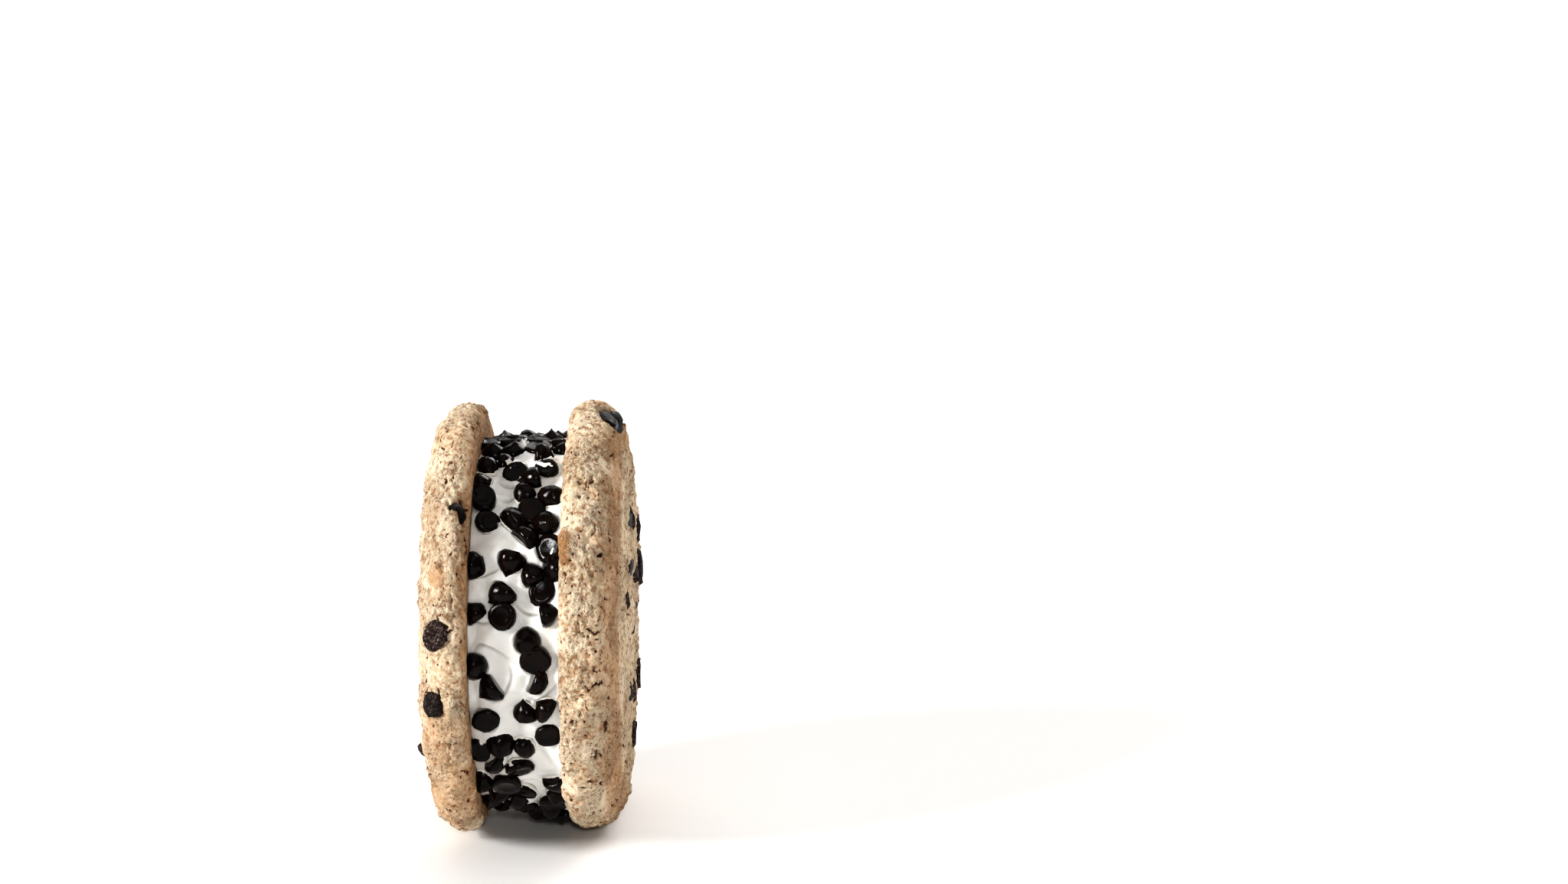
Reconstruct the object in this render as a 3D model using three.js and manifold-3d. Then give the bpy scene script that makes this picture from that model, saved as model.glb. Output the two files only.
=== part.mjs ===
// An ice cream sandwich: a thick disc of ice cream between two round chocolate chip cookies, its side
// rolled in small chocolate chips. It stands on edge, like a wheel, on a small flat spot under each cookie.
// Millimetres, +Z up. X runs through the sandwich from the left cookie to the right one, -Y is the front,
// and the origin is the middle of the bounding box's underside.
// A turn is an angle about the sandwich's axis: 0 at the front, 90 degrees at the top, -90 at the floor.
import * as THREE from "three";
import { mergeVertices } from "three/addons/utils/BufferGeometryUtils.js";
import Module from "manifold-3d";

const radians = THREE.MathUtils.degToRad;
const lerp = THREE.MathUtils.lerp;
const clamp = THREE.MathUtils.clamp;

// Driving dimensions.
const COOKIE_RADIUS = 40;
const FILLING_WIDTH = 16.4; // from cookie to cookie
const FIT_GAP = 0.3; // left between the ice cream and each cookie
const FLAT_DEPTH = 0.35; // how much of each rim the flat spot takes off

// A cookie is flat on the side that was baked on the tray, and its rim is widest near that side.
const WIDEST_SHARE = 0.36; // of the rim's thickness, from the flat side
const INNER_ROUNDING = 2.6; // how far the flat side's edge reaches in
const OUTER_ROUNDING = 9; // how far the top's edge reaches in
const COOKIE_SIDES = 46;
const COOKIE_STATIONS = [-1, -0.6, -0.25, 0, 0.25, 0.5, 0.75, 1, 1.17, 1.36, 1.58, 1.8, 2]; // see profileAt
const BULGE_WAVES = [2, 3, 5]; // how many times each bulge goes round
const LUMPS = 60; // low swellings and dents spread over each cookie
const LUMP_HEIGHT = [-0.85, 0.45];
const LUMP_WIDTH = [2.6, 7];
const LUMP_STATIONS = [-0.5, 1.8]; // where they lie, see profileAt
const CRAG = 0.2; // how far a vertex strays from the smooth surface
const FREE_CHIP_SPACING = 8.5; // between a cookie's chips, where only chance places them
const FREE_CHIP_PROUD = 0.9; // how far those stand out
const FREE_CHIP_SIZE = 1.25; // against the others
const FREE_CHIP_STATIONS = [1.08, 1.9]; // where they lie, see profileAt
const FREE_CHIP_LEAN = [150, 190]; // degrees, nearly base out
const CLEAR_STATION = 1.4; // none nearer the rim than this towards the front
const CLEAR_COSINE = 0.3; // of the turn, where that begins
const LEFT_COOKIE = {
  name: "cookie_left",
  outward: -1,
  rim: 8.6, // thickness where the rim meets the top
  dome: 1.4, // how much the top rises above that
  fullness: 1, // below 1 the rim's outer rounding is squarer
  bulges: [0.5, 0.35, 0.3], // how far the outline strays from round
  seed: 11,
  hollows: [
    { turn: 10, station: 0.26, height: -0.9, width: 3 },
    { turn: 3, station: 0.4, height: 0.8, width: 2.2 },
    { turn: -8, station: 0.36, height: -0.7, width: 2.4 },
    { turn: 45, station: -0.75, height: -2.4, width: 2.4 },
  ],
  chips: [
    { turn: 10, station: 0.26, lean: 172, lift: -0.9, size: 1.02 },
    { turn: -9.5, station: 0.4, lean: 95, lift: -1.8, size: 1.15 },
    { turn: -33.5, station: 0.84, lean: 80, lift: -1.3, size: 1.05 },
    { turn: 44, station: -0.66, lean: 60, lift: -2.9, size: 1.15 },
  ],
  freeChips: 14,
};
const RIGHT_COOKIE = {
  name: "cookie_right",
  outward: 1,
  rim: 10,
  dome: 1.4,
  fullness: 0.88,
  bulges: [0.4, 0.3, 0.2],
  seed: 23,
  hollows: [
    { turn: 87, station: 0.43, height: -2.4, width: 2.7 },
    { turn: 33.7, station: -0.5, height: 1.4, width: 1.7 },
  ],
  chips: [
    { turn: 89, station: 0.5, lean: 150, lift: -2, size: 1.15 },
    { turn: 84, station: 0.44, lean: 50, lift: -1.9, size: 1.15 },
  ],
  freeChips: 14,
};

// The ice cream widens from the left cookie to the right one and hangs lower towards the right.
const FILLING_RADIUS = { left: 33.6, right: 35.2 };
const FILLING_SAG = { left: 0.3, right: 1.2 };
const FILLING_SIDES = 58;
const FILLING_STEPS = 5; // across its width
const SMEAR = 0.3; // height of the spread marks on its side

// A small chocolate chip: a flat base, round sides and a drawn-out tip, as shares of its base radius.
const CHIP_RADIUS = 2.5;
const CHIP_PROFILE = [
  [0, 0],
  [0.94, 0.05],
  [0.94, 0.62],
  [0.5, 1.18],
  [0, 1.55],
];
const CHIP_MIDDLE = 0.58; // the height that a chip turns about
const CHIP_SIDES = 7;
const CHIP_SIZE = [0.92, 1.16]; // smallest and largest, as shares of the usual size

// How the chips lie on the ice cream.
const CHIP_THROWS = 2200; // tries at placing one
const CHIP_SPACING = { thin: 4.7, thick: 3.5 };
// How thick they lie, from 0 to 1: in the middle, more per width towards the right, more above and below.
const CHIP_CROWD = { middle: 0.4, right: 0.64, aboveBelow: 0.5 };
const CHIP_BAND = 14.4; // how wide the band is that they lie in
const FRONT_CHIPS = [
  { turn: 48, across: -0.6 },
  { turn: 51, across: 2.7 },
  { turn: 42, across: 2.1 },
  { turn: 33, across: -0.5 },
  { turn: 30, across: 3.2 },
  { turn: 25, across: 5.2 },
  { turn: 23, across: -2.2 },
  { turn: 17, across: -1.7 },
  { turn: 10, across: 2.5 },
  { turn: 5, across: 4.1 },
  { turn: -2, across: 4.5 },
  { turn: -6, across: -4.4 },
  { turn: -16, across: -5.2 },
  { turn: -12, across: 2.1 },
  { turn: -10, across: 5.4 },
  { turn: -25, across: -2.7 },
];
const CLEAR_SPOTS = [
  { turn: 4, across: -2, reach: 4.9 },
  { turn: 10, across: -5.2, reach: 4.5 },
  { turn: -29, across: 7, reach: 5 },
  { turn: 39, across: -3.5, reach: 4.2 },
  { turn: -18, across: 0, reach: 4.2 },
  { turn: 25, across: -7, reach: 4.1 },
  { turn: -45, across: 3.5, reach: 3.9 },
];
const PLACE_SEED = 11901;
const POSE_SEED = 5;
// Tip out, on its side or base out: the share of chips, the lean off the outward direction and the lift.
const POSES = [
  { share: 0.34, lean: 18, lift: 0.15 },
  { share: 0.36, lean: 88, lift: -0.4 },
  { share: 0.3, lean: 168, lift: -0.35 },
];
const POSE_LEAN = 16; // degrees either way
const POSE_LIFT = 0.2; // either way

// The same draws each time, from 0 to 1.
function randomFrom(seed) {
  let state = seed;
  return () => {
    state = (state * 48271) % 2147483647;
    return state / 2147483647;
  };
}

// The place at a turn, a distance from the axis and a distance across.
function placeAt(turn, radius, across) {
  return new THREE.Vector3(across, -radius * Math.cos(turn), radius * Math.sin(turn));
}

// A cookie's half profile, as the distance from the axis and the height above the flat side. Station -1 is
// the flat side's edge, 0 the widest point of the rim, 1 where the rim meets the top and 2 the top's middle.
function profileAt(cookie, station) {
  const widest = cookie.rim * WIDEST_SHARE;
  const angle = (Math.min(station, 1) * Math.PI) / 2;
  const reach = Math.min(2 - station, 1);
  const rounding = station < 0 ? INNER_ROUNDING : OUTER_ROUNDING;
  const rise = station < 0 ? widest : cookie.rim - widest;
  const fullness = station < 0 ? 1 : cookie.fullness;
  const radius = (COOKIE_RADIUS - rounding * (1 - Math.cos(angle) ** fullness)) * reach;
  const dome = station > 0 ? cookie.dome * (1 - (radius / COOKIE_RADIUS) ** 2) : 0;
  return { radius, height: widest + rise * Math.sign(angle) * Math.abs(Math.sin(angle)) ** fullness + dome };
}

// The outline's size at a turn, near 1.
function outlineAt(cookie, turn) {
  const stray = cookie.bulges.reduce((sum, bulge, i) => {
    return sum + bulge * Math.sin(BULGE_WAVES[i] * turn + cookie.seed * (i + 1));
  }, 0);
  return 1 + stray / COOKIE_RADIUS;
}

// A point on the smooth cookie.
function cookiePoint(cookie, turn, station) {
  const { radius, height } = profileAt(cookie, station);
  return placeAt(turn, radius * outlineAt(cookie, turn), cookie.outward * (FILLING_WIDTH / 2 + height));
}

// Straight out of the smooth cookie there.
function cookieNormal(cookie, turn, station) {
  const step = 0.02;
  const from = profileAt(cookie, station - step);
  const to = profileAt(cookie, station + step);
  return placeAt(turn, to.height - from.height, cookie.outward * (from.radius - to.radius)).normalize();
}

// A cookie's swellings, dents and hollows, each with its place.
function lumpsOf(cookie) {
  const random = randomFrom(cookie.seed);
  const lumps = Array.from({ length: LUMPS }, () => {
    const at = cookiePoint(cookie, random() * 2 * Math.PI, lerp(...LUMP_STATIONS, random()));
    return { at, height: lerp(...LUMP_HEIGHT, random()), width: lerp(...LUMP_WIDTH, random()) };
  });
  const hollows = cookie.hollows.map(({ turn, station, height, width }) => {
    return { at: cookiePoint(cookie, radians(turn), station), height, width };
  });
  return [...lumps, ...hollows];
}

function swellAt(lumps, point) {
  return lumps.reduce((sum, { at, height, width }) => {
    return sum + height * Math.exp(-point.distanceToSquared(at) / (width * width));
  }, 0);
}

// A closed mesh's shared vertices, with nothing but their positions.
function bareMesh(geometry) {
  geometry.deleteAttribute("normal");
  geometry.deleteAttribute("uv");
  return mergeVertices(geometry, 1e-4);
}

// A solid of revolution about X, from radius and across pairs.
function turnedMesh(pairs, sides) {
  const profile = pairs.map(([radius, across]) => new THREE.Vector2(radius, across));
  return bareMesh(new THREE.LatheGeometry(profile, sides)).rotateZ(-Math.PI / 2);
}

// Moves each vertex of a mesh to where a function puts it.
function reshape(geometry, move) {
  const places = geometry.attributes.position;
  for (let i = 0; i < places.count; i++) {
    const moved = move(new THREE.Vector3().fromBufferAttribute(places, i), i);
    places.setXYZ(i, moved.x, moved.y, moved.z);
  }
  return geometry;
}

function cookieGeometry(cookie) {
  const random = randomFrom(cookie.seed + 1);
  const lumps = lumpsOf(cookie);
  const stations = COOKIE_STATIONS.map((station) => profileAt(cookie, station));
  const pairs = [[0, 0], ...stations.map(({ radius, height }) => [radius, height])];
  const geometry = turnedMesh(pairs, COOKIE_SIDES);
  if (cookie.outward < 0) geometry.rotateZ(Math.PI);
  reshape(geometry, (point) => {
    const factor = outlineAt(cookie, Math.atan2(point.z, -point.y));
    point.x += (cookie.outward * FILLING_WIDTH) / 2;
    return point.set(point.x, point.y * factor, point.z * factor);
  });
  geometry.computeVertexNormals();
  const normals = geometry.attributes.normal;
  return reshape(geometry, (point, i) => {
    const stray = CRAG * (2 * random() - 1) * Math.min(1, Math.hypot(point.y, point.z) / OUTER_ROUNDING / 2);
    if (Math.abs(point.x) < FILLING_WIDTH / 2 + 0.01) return point;
    const outward = new THREE.Vector3().fromBufferAttribute(normals, i);
    return point.addScaledVector(outward, swellAt(lumps, point) + stray);
  });
}

function chipGeometry() {
  const pairs = CHIP_PROFILE.map(([radius, height]) => [radius, height - CHIP_MIDDLE]);
  return turnedMesh(pairs, CHIP_SIDES).scale(CHIP_RADIUS, CHIP_RADIUS, CHIP_RADIUS);
}

// Stands a chip at a place. Its base-to-tip axis leans off the outward direction, towards a heading.
function chipMatrix(at, outward, { lean, heading, size, lift }) {
  const hinge = new THREE.Vector3().crossVectors(outward, new THREE.Vector3(0.9, 0.3, 0.3)).normalize();
  hinge.applyAxisAngle(outward, heading);
  const axis = outward.clone().applyAxisAngle(hinge, lean);
  const turn = new THREE.Quaternion().setFromUnitVectors(new THREE.Vector3(1, 0, 0), axis);
  const place = at.clone().addScaledVector(outward, lift);
  return new THREE.Matrix4().compose(place, turn, new THREE.Vector3(size, size, size));
}

function drawPose(random) {
  let draw = random();
  const pose = POSES.find(({ share }) => (draw -= share) < 0) ?? POSES[0];
  return {
    lean: radians(pose.lean + lerp(-POSE_LEAN, POSE_LEAN, random())),
    lift: pose.lift + lerp(-POSE_LIFT, POSE_LIFT, random()),
    heading: 2 * Math.PI * random(),
    size: lerp(...CHIP_SIZE, random()),
  };
}

// Chips baked into a cookie: those that show from the front, then others by chance, clear of the rim there.
function cookieChips(cookie) {
  const random = randomFrom(cookie.seed * 101);
  const placed = [];
  const matrices = [];
  const place = (turn, station, pose) => {
    placed.push(cookiePoint(cookie, turn, station));
    matrices.push(chipMatrix(placed.at(-1), cookieNormal(cookie, turn, station), pose));
  };
  for (const { turn, station, lean, lift, size } of cookie.chips) {
    place(radians(turn), station, { ...drawPose(random), lean: radians(lean), lift, size });
  }
  while (placed.length < cookie.chips.length + cookie.freeChips) {
    const turn = 2 * Math.PI * random();
    const station = lerp(...FREE_CHIP_STATIONS, Math.sqrt(random()));
    if (station < CLEAR_STATION && Math.cos(turn) > CLEAR_COSINE) continue;
    const at = cookiePoint(cookie, turn, station);
    if (placed.some((other) => other.distanceTo(at) < FREE_CHIP_SPACING)) continue;
    const pose = drawPose(random);
    pose.lean = radians(lerp(...FREE_CHIP_LEAN, random()));
    pose.size *= FREE_CHIP_SIZE;
    const reach = CHIP_RADIUS * pose.size * (Math.sin(pose.lean) - CHIP_MIDDLE * Math.cos(pose.lean));
    pose.lift = FREE_CHIP_PROUD - reach;
    place(turn, station, pose);
  }
  return matrices;
}

// Low waves left by spreading.
function smearAt(turn, across) {
  return SMEAR * (Math.sin(5 * turn + 0.5 * across) + 0.7 * Math.sin(13 * turn - 0.8 * across + 2));
}

// A point at a height over the ice cream's plain side.
function fillingPoint(turn, across, height) {
  const share = across / FILLING_WIDTH + 0.5;
  const radius = lerp(FILLING_RADIUS.left, FILLING_RADIUS.right, share) + height;
  const point = placeAt(turn, radius, across);
  point.z -= lerp(FILLING_SAG.left, FILLING_SAG.right, share);
  return point;
}

function fillingGeometry() {
  const half = (FILLING_WIDTH - FIT_GAP) / 2;
  const side = Array.from({ length: FILLING_STEPS + 1 }, (_, i) => [1, lerp(-half, half, i / FILLING_STEPS)]);
  return reshape(turnedMesh([[0, -half], ...side, [0, half]], FILLING_SIDES), (point) => {
    if (Math.hypot(point.y, point.z) < 0.5) return point;
    const turn = Math.atan2(point.z, -point.y);
    return fillingPoint(turn, point.x, smearAt(turn, point.x));
  });
}

// First the chips seen from the front, then others by chance. They lie thickest above, below and towards
// the right cookie, and nowhere on the clear spots.
function fillingChips() {
  const randomPlace = randomFrom(PLACE_SEED);
  const randomPose = randomFrom(POSE_SEED);
  const clear = CLEAR_SPOTS.map(({ turn, across, reach }) => {
    return { at: fillingPoint(radians(turn), across, 0), reach };
  });
  const spots = [];
  const matrices = [];
  const place = (turn, across) => {
    const at = fillingPoint(turn, across, smearAt(turn, across));
    spots.push(fillingPoint(turn, across, 0));
    matrices.push(chipMatrix(at, placeAt(turn, 1, 0), drawPose(randomPose)));
  };
  for (const { turn, across } of FRONT_CHIPS) place(radians(turn), across);
  for (let i = 0; i < CHIP_THROWS; i++) {
    const turn = (2 * randomPlace() - 1) * Math.PI;
    const share = randomPlace() - 0.5;
    const crowd = CHIP_CROWD.middle + CHIP_CROWD.right * share + CHIP_CROWD.aboveBelow * Math.sin(turn) ** 2;
    const spacing = lerp(CHIP_SPACING.thin, CHIP_SPACING.thick, clamp(crowd, 0, 1));
    const spot = fillingPoint(turn, share * CHIP_BAND, 0);
    if (spots.some((other) => other.distanceTo(spot) < spacing)) continue;
    if (clear.some(({ at, reach }) => at.distanceTo(spot) < reach)) continue;
    place(turn, share * CHIP_BAND);
  }
  return matrices;
}

const wasm = await Module();
wasm.setup();

function solidOf(geometry) {
  const mesh = new wasm.Mesh({
    numProp: 3,
    vertProperties: new Float32Array(geometry.attributes.position.array),
    triVerts: new Uint32Array(geometry.index.array),
  });
  return new wasm.Manifold(mesh);
}

function meshOf(solid, name, material) {
  const { vertProperties, triVerts } = solid.getMesh();
  const geometry = new THREE.BufferGeometry();
  geometry.setAttribute("position", new THREE.BufferAttribute(vertProperties, 3));
  geometry.setIndex(new THREE.BufferAttribute(triVerts, 1));
  geometry.computeVertexNormals();
  const mesh = new THREE.Mesh(geometry, material);
  mesh.name = name;
  return mesh;
}

// The part of a solid that lies between two values of x and above a value of z.
function cutTo(solid, lowX, highX, lowZ) {
  const reach = 3 * COOKIE_RADIUS;
  const box = new THREE.BoxGeometry(highX - lowX, reach, reach);
  box.translate((lowX + highX) / 2, 0, lowZ + reach / 2);
  return solid.intersect(solidOf(bareMesh(box)));
}

// Fuses a chip at each matrix onto a mesh.
function withChips(geometry, matrices) {
  const chip = chipGeometry();
  return matrices.reduce((sum, matrix) => {
    return sum.add(solidOf(chip.clone().applyMatrix4(matrix)));
  }, solidOf(geometry));
}

// A cookie stands with its lowest point a little under the floor, which cuts it off flat.
function cookieMesh(cookie) {
  const color = 0xcbae8c;
  const geometry = cookieGeometry(cookie);
  geometry.computeBoundingBox();
  const floor = geometry.boundingBox.min.z + FLAT_DEPTH;
  const inner = FILLING_WIDTH / 2;
  const outer = FILLING_WIDTH / 2 + 2 * cookie.rim;
  const [lowX, highX] = cookie.outward < 0 ? [-outer, -inner] : [inner, outer];
  const solid = cutTo(withChips(geometry, cookieChips(cookie)), lowX, highX, floor);
  const material = new THREE.MeshStandardMaterial({ color, roughness: 0.9, metalness: 0 });
  const mesh = meshOf(solid, cookie.name, material);
  mesh.position.z = -floor;
  return mesh;
}

// Chips that reach a cookie are pressed flat against it.
function fillingMesh() {
  const half = (FILLING_WIDTH - FIT_GAP) / 2;
  const solid = cutTo(withChips(fillingGeometry(), fillingChips()), -half, half, -COOKIE_RADIUS);
  const material = new THREE.MeshStandardMaterial({ color: 0xeeebe5, roughness: 0.4, metalness: 0 });
  const mesh = meshOf(solid, "ice_cream", material);
  mesh.position.z = COOKIE_RADIUS - FLAT_DEPTH;
  return mesh;
}

const sandwich = new THREE.Group();
sandwich.add(cookieMesh(LEFT_COOKIE), fillingMesh(), cookieMesh(RIGHT_COOKIE));
const bounds = new THREE.Box3().setFromObject(sandwich, true);
sandwich.position.set(-(bounds.min.x + bounds.max.x) / 2, -(bounds.min.y + bounds.max.y) / 2, -bounds.min.z);

export default sandwich;
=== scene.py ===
"""An ice cream sandwich on edge: vanilla ice cream between two chocolate chip cookies, rolled in mini chips.

Shapes are worked out in millimetres about the sandwich's axis, and become metres in the frame when a piece is
made of them. A turn is an angle about that axis, 0 at the front, a quarter turn at the top. Across runs along
it, from the left cookie to the right one.
"""
import math
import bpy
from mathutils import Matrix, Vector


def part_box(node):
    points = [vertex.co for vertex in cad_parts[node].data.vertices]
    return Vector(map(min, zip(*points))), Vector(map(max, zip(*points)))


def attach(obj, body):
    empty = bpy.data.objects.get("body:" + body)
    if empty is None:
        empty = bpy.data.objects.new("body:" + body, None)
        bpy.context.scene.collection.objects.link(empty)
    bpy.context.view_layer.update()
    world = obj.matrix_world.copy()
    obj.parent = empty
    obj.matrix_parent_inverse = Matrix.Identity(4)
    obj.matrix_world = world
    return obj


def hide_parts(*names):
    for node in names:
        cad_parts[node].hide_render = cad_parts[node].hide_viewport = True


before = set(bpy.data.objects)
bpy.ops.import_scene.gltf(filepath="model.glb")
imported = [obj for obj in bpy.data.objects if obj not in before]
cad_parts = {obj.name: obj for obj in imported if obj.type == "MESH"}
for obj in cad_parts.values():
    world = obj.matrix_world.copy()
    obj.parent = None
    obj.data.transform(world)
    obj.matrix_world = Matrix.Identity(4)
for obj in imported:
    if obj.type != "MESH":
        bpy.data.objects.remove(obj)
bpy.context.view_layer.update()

from types import SimpleNamespace

import bmesh
import bpy
import numpy as np
from mathutils import Matrix, Quaternion, Vector, noise

# ---------------------------------------------------------------- sizes, in millimetres
MM = 0.001  # in metres
COOKIE_RADIUS = 40.0
FILLING_WIDTH = 16.4
FIT_GAP = 0.3  # kept between the rolled chips and the cookies, both together
FLAT_DEPTH = 0.35  # how much of each rim is pressed flat on the floor

# The cookies.
WIDEST_SHARE = 0.36  # of the rim's thickness, from the flat side
INNER_ROUNDING = 2.6
OUTER_ROUNDING = 9.0
BULGE_WAVES = (2, 3, 5)  # round the outline
LUMPS = 60
LUMP_STATIONS = (-0.5, 1.8)
LUMP_HEIGHT = (-0.85, 0.45)
LUMP_WIDTH = (2.6, 7.0)
FREE_CHIP_SPACING = 8.5
FREE_CHIP_PROUD = 0.9
FREE_CHIP_SIZE = 1.25  # against the others
FREE_CHIP_STATIONS = (1.08, 1.9)
FREE_CHIP_LEAN = (150, 190)  # nearly base out
FREE_CHIP_BLOOM = (0.2, 1.0)
FREE_CHIP_UNEVENNESS = 0.13
CLEAR_STATION = 1.4  # none nearer the rim than this towards the front
CLEAR_COSINE = 0.3
LEFT = SimpleNamespace(
    node="cookie_left",
    outward=-1,
    rim=8.6,
    dome=1.4,
    fullness=1.0,  # below 1 the rim's outer rounding is squarer
    bulges=(0.5, 0.35, 0.3),
    seed=11,
    hollows=[  # and bumps: turn, station, height, width
        (10, 0.26, -0.9, 3.0),
        (3, 0.4, 0.8, 2.2),
        (-8, 0.36, -0.7, 2.4),
        (45, -0.75, -1.2, 2.4),
    ],
    chips=[  # turn, station, lean, lift, size, bloom, unevenness
        (10, 0.26, 172, -0.9, 1.02, 1.0, 0.05),
        (-9.5, 0.4, 95, -1.8, 1.15, 0.4, 0.3),
        (-33.5, 0.84, 80, -1.3, 1.05, 0.5, 0.2),
        (44, -0.66, 60, -2.9, 1.15, 0.0, 0.3),
    ],
    free_chips=14,
    browned=[  # turn, station, reach, strength
        (26, 0.26, 2.8, 0.5),
        (44, 0.3, 2.6, 0.35),
        (44, -0.6, 3.2, 0.7),
        # The next two make the lower front of the rim browner.
        (-22, 0.1, 11, 0.35),
        (-46, 0.0, 14, 0.45),
        # Painted shade on the rim near the top.
        (70, 0.0, 14, 0.2),
    ],
    # Baked browning, and painted shade on this edge, which faces away from the light; the right cookie has
    # none.
    toast=0.6,  # how brown the edge at the ice cream is
    crust=0.15,  # how brown the outer edge is
    # Partly baked browning, partly painted shade that holds back the strong light on this face; the right
    # cookie has less.
    tan=0.45,  # how brown the top is
    cuts=[  # turn, station, heading, length, width, depth
        (44.5, -0.74, 90, 2.8, 1.5, 2.8),
        (-5.5, 0.24, 80, 0.9, 0.3, 0.9),
        (-12.5, 0.34, 100, 0.7, 0.25, 0.8),
        (12.5, 0.02, 40, 0.5, 0.28, 0.85),
        (11, -0.12, -30, 0.6, 0.25, 0.8),
        (9, 0.0, 80, 0.4, 0.2, 0.7),
    ],
)
RIGHT = SimpleNamespace(  # the same measures in the same order
    node="cookie_right",
    outward=1,
    rim=10.0,
    dome=1.4,
    fullness=0.88,
    bulges=(0.4, 0.3, 0.2),
    seed=23,
    hollows=[
        (87, 0.43, -1.0, 2.8),
        (36.5, -0.5, 0.9, 1.5),
        (33.7, -0.5, 0.9, 1.5),
        (31, -0.5, 0.9, 1.5),
    ],
    chips=[
        (89, 0.5, 150, -2.0, 1.15, 0.0, 0.3),
        (84, 0.44, 50, -1.9, 1.15, 0.0, 0.3),
    ],
    free_chips=14,
    browned=[
        (36.5, -0.55, 2.1, 0.75),
        (33.7, -0.55, 2.3, 0.75),
        (31, -0.55, 2.1, 0.75),
    ],
    toast=0.0,
    # Baked crust, and painted shade on this outer edge, which faces away from the light.
    crust=0.55,
    tan=0.15,
    cuts=[
        (87, 0.44, 110, 3.3, 2.2, 3.9),
        (-16.5, 0.53, 90, 1.7, 0.9, 0.6),
        (-25, 0.3, 60, 0.9, 0.3, 0.9),
        (11, 0.36, 20, 0.7, 0.22, 0.75),
        (12, 0.2, -10, 0.6, 0.2, 0.7),
        (32, 0.4, 30, 0.7, 0.3, 0.9),
        (0, 0.66, 75, 1.1, 0.25, 0.8),
    ],
)

# How finely the cookies are made.
COOKIE_STEPS = 780  # round the axis
FLAT_SIDE_STATIONS = (-2, -1.4, -1.15, -1.1, -1.06, -1.03)
INNER_ROWS = 15  # from the flat side's edge to the widest point of the rim
OUTER_ROWS = 42  # from there to the top's edge
TOP_ROWS = 60
TOP_CROWDING = 1.12  # above 1 the top's rows are closer together near the rim
PROFILE_SAMPLES = 801
GRAIN_STRETCH = 1.5  # how much longer the crumb's pores are along the rim than across it
GRAIN_RADII = (16, 38)  # where that begins and where it is full

# The baked surface: how large its features are, and how high or deep. Pairs are for fine and coarse crumb.
WARP_SIZE = 2.6
PATCH_SIZE = 7
CRUMB_SIZE = 1.7
CRUMB_GAP = 0.5
CRUMB_HEIGHT = (0.08, 0.36)
FINE_SIZE = 0.95
FINE_HEIGHT = (0.12, 0.34)
SWELL_SIZES = (4.2, 2.1)
SWELL_HEIGHT = 0.65
CRACK_SPACING = 4.4
CRACK_PATCH_SIZE = 2.2
CRACK_DEPTH = 0.5
PORE_SIZE = 0.75
PORE_PATCH_SIZE = 4
PORE_DEPTH = 0.45
NEST_BEAD = (3.4, 0.7, 0.35)  # round a baked chip: distance from its middle, width, height
NEST_HOLLOW = (2.2, 0.5)  # under it: width, depth
BAKED_BAND = (-1.03, -0.9)  # the stations between which the smooth flat side turns into baked surface

# The stations between which its browning comes in, and between which the crust's goes again.
TOAST_BAND = (0.1, 0.8)  # towards the ice cream, from the rim's widest point
CRUST_BAND = (0.15, 0.65)
CRUST_END = (0.85, 1.15)
TAN_BAND = (0.85, 1.12)

# The ice cream.
FILLING_RADIUS = (33.6, 35.2)  # at the left and at the right cookie
FILLING_SAG = (0.3, 1.2)
FILLING_STEPS = 980  # round the axis
FILLING_ROWS = 80
STICKING = 0.02  # how far the ice cream goes into each cookie
SMEAR = 0.3
DUST_REACH = 1.3  # of chocolate dust round a chip

# Its surface: how large the waves are, and how high.
FLOW_SIZE = 7
WAVE_SIZE = 9
WAVE_HEIGHT = 1.1
CRINKLE_SIZE = 3.4
CRINKLE_HEIGHT = 0.2
RIPPLE_SIZE = 1.3
RIPPLE_HEIGHT = 0.03
MEAN_HEIGHT = 0.9  # of the waves, taken off again
GROOVE_DEPTH = 0.25
GROOVE_WIDTH = 0.28
BEAD_HEIGHT = 0.3  # pushed up along the right cookie
BEAD_WIDTH = 0.9
LIP_HEIGHT = 0.2  # pushed up round a chip
LIP_WIDTH = 0.5
LIP_SLOPE = 4.0
LIP_DEPTH = 0.7

# The chips.
CHIP_RADIUS = 2.5
CHIP_PROFILE = [  # distance from the chip's axis and height, as shares of its radius
    (0.0, 0.15),
    (0.55, 0.1),
    (0.88, 0.02),
    (1.0, 0.22),
    (0.98, 0.52),
    (0.82, 0.86),
    (0.52, 1.14),
    (0.22, 1.34),
    (0.0, 1.55),
]
CHIP_MIDDLE = 0.58
CHIP_SIDES = 16
CHIP_SIZE = (0.92, 1.16)  # against the radius
CHIP_SQUASH = (0.88, 1.12)
CHIP_HEIGHT = (0.85, 1.1)
CHIP_BEND = (0.1, 1.1)  # how far its tip leans aside
CHIP_DENTS = (1.9, 0.8)  # how large they are
CHIP_NEAR = 4.5  # nothing of a chip is further from its middle
CHIP_FAR = 9.0  # what stands for any distance beyond that
ROLLED_UNEVENNESS = 0.11
ROLLED_SEED = 17
CHIP_THROWS = 2200
CHIP_SPACING = (4.7, 3.5)  # where they lie thin and thick
CHIP_BAND = 14.4  # how wide the band is that they lie in
CROWD_MIDDLE = 0.4  # how thick they lie in the middle, 0 to 1
CROWD_RIGHT = 0.64  # more towards the right cookie
CROWD_ABOVE_BELOW = 0.5
FRONT_CHIPS = [  # turn, across
    (48, -0.6),
    (51, 2.7),
    (42, 2.1),
    (33, -0.5),
    (30, 3.2),
    (25, 5.2),
    (23, -2.2),
    (17, -1.7),
    (10, 2.5),
    (5, 4.1),
    (-2, 4.5),
    (-6, -4.4),
    (-16, -5.2),
    (-12, 2.1),
    (-10, 5.4),
    (-25, -2.7),
]
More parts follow.
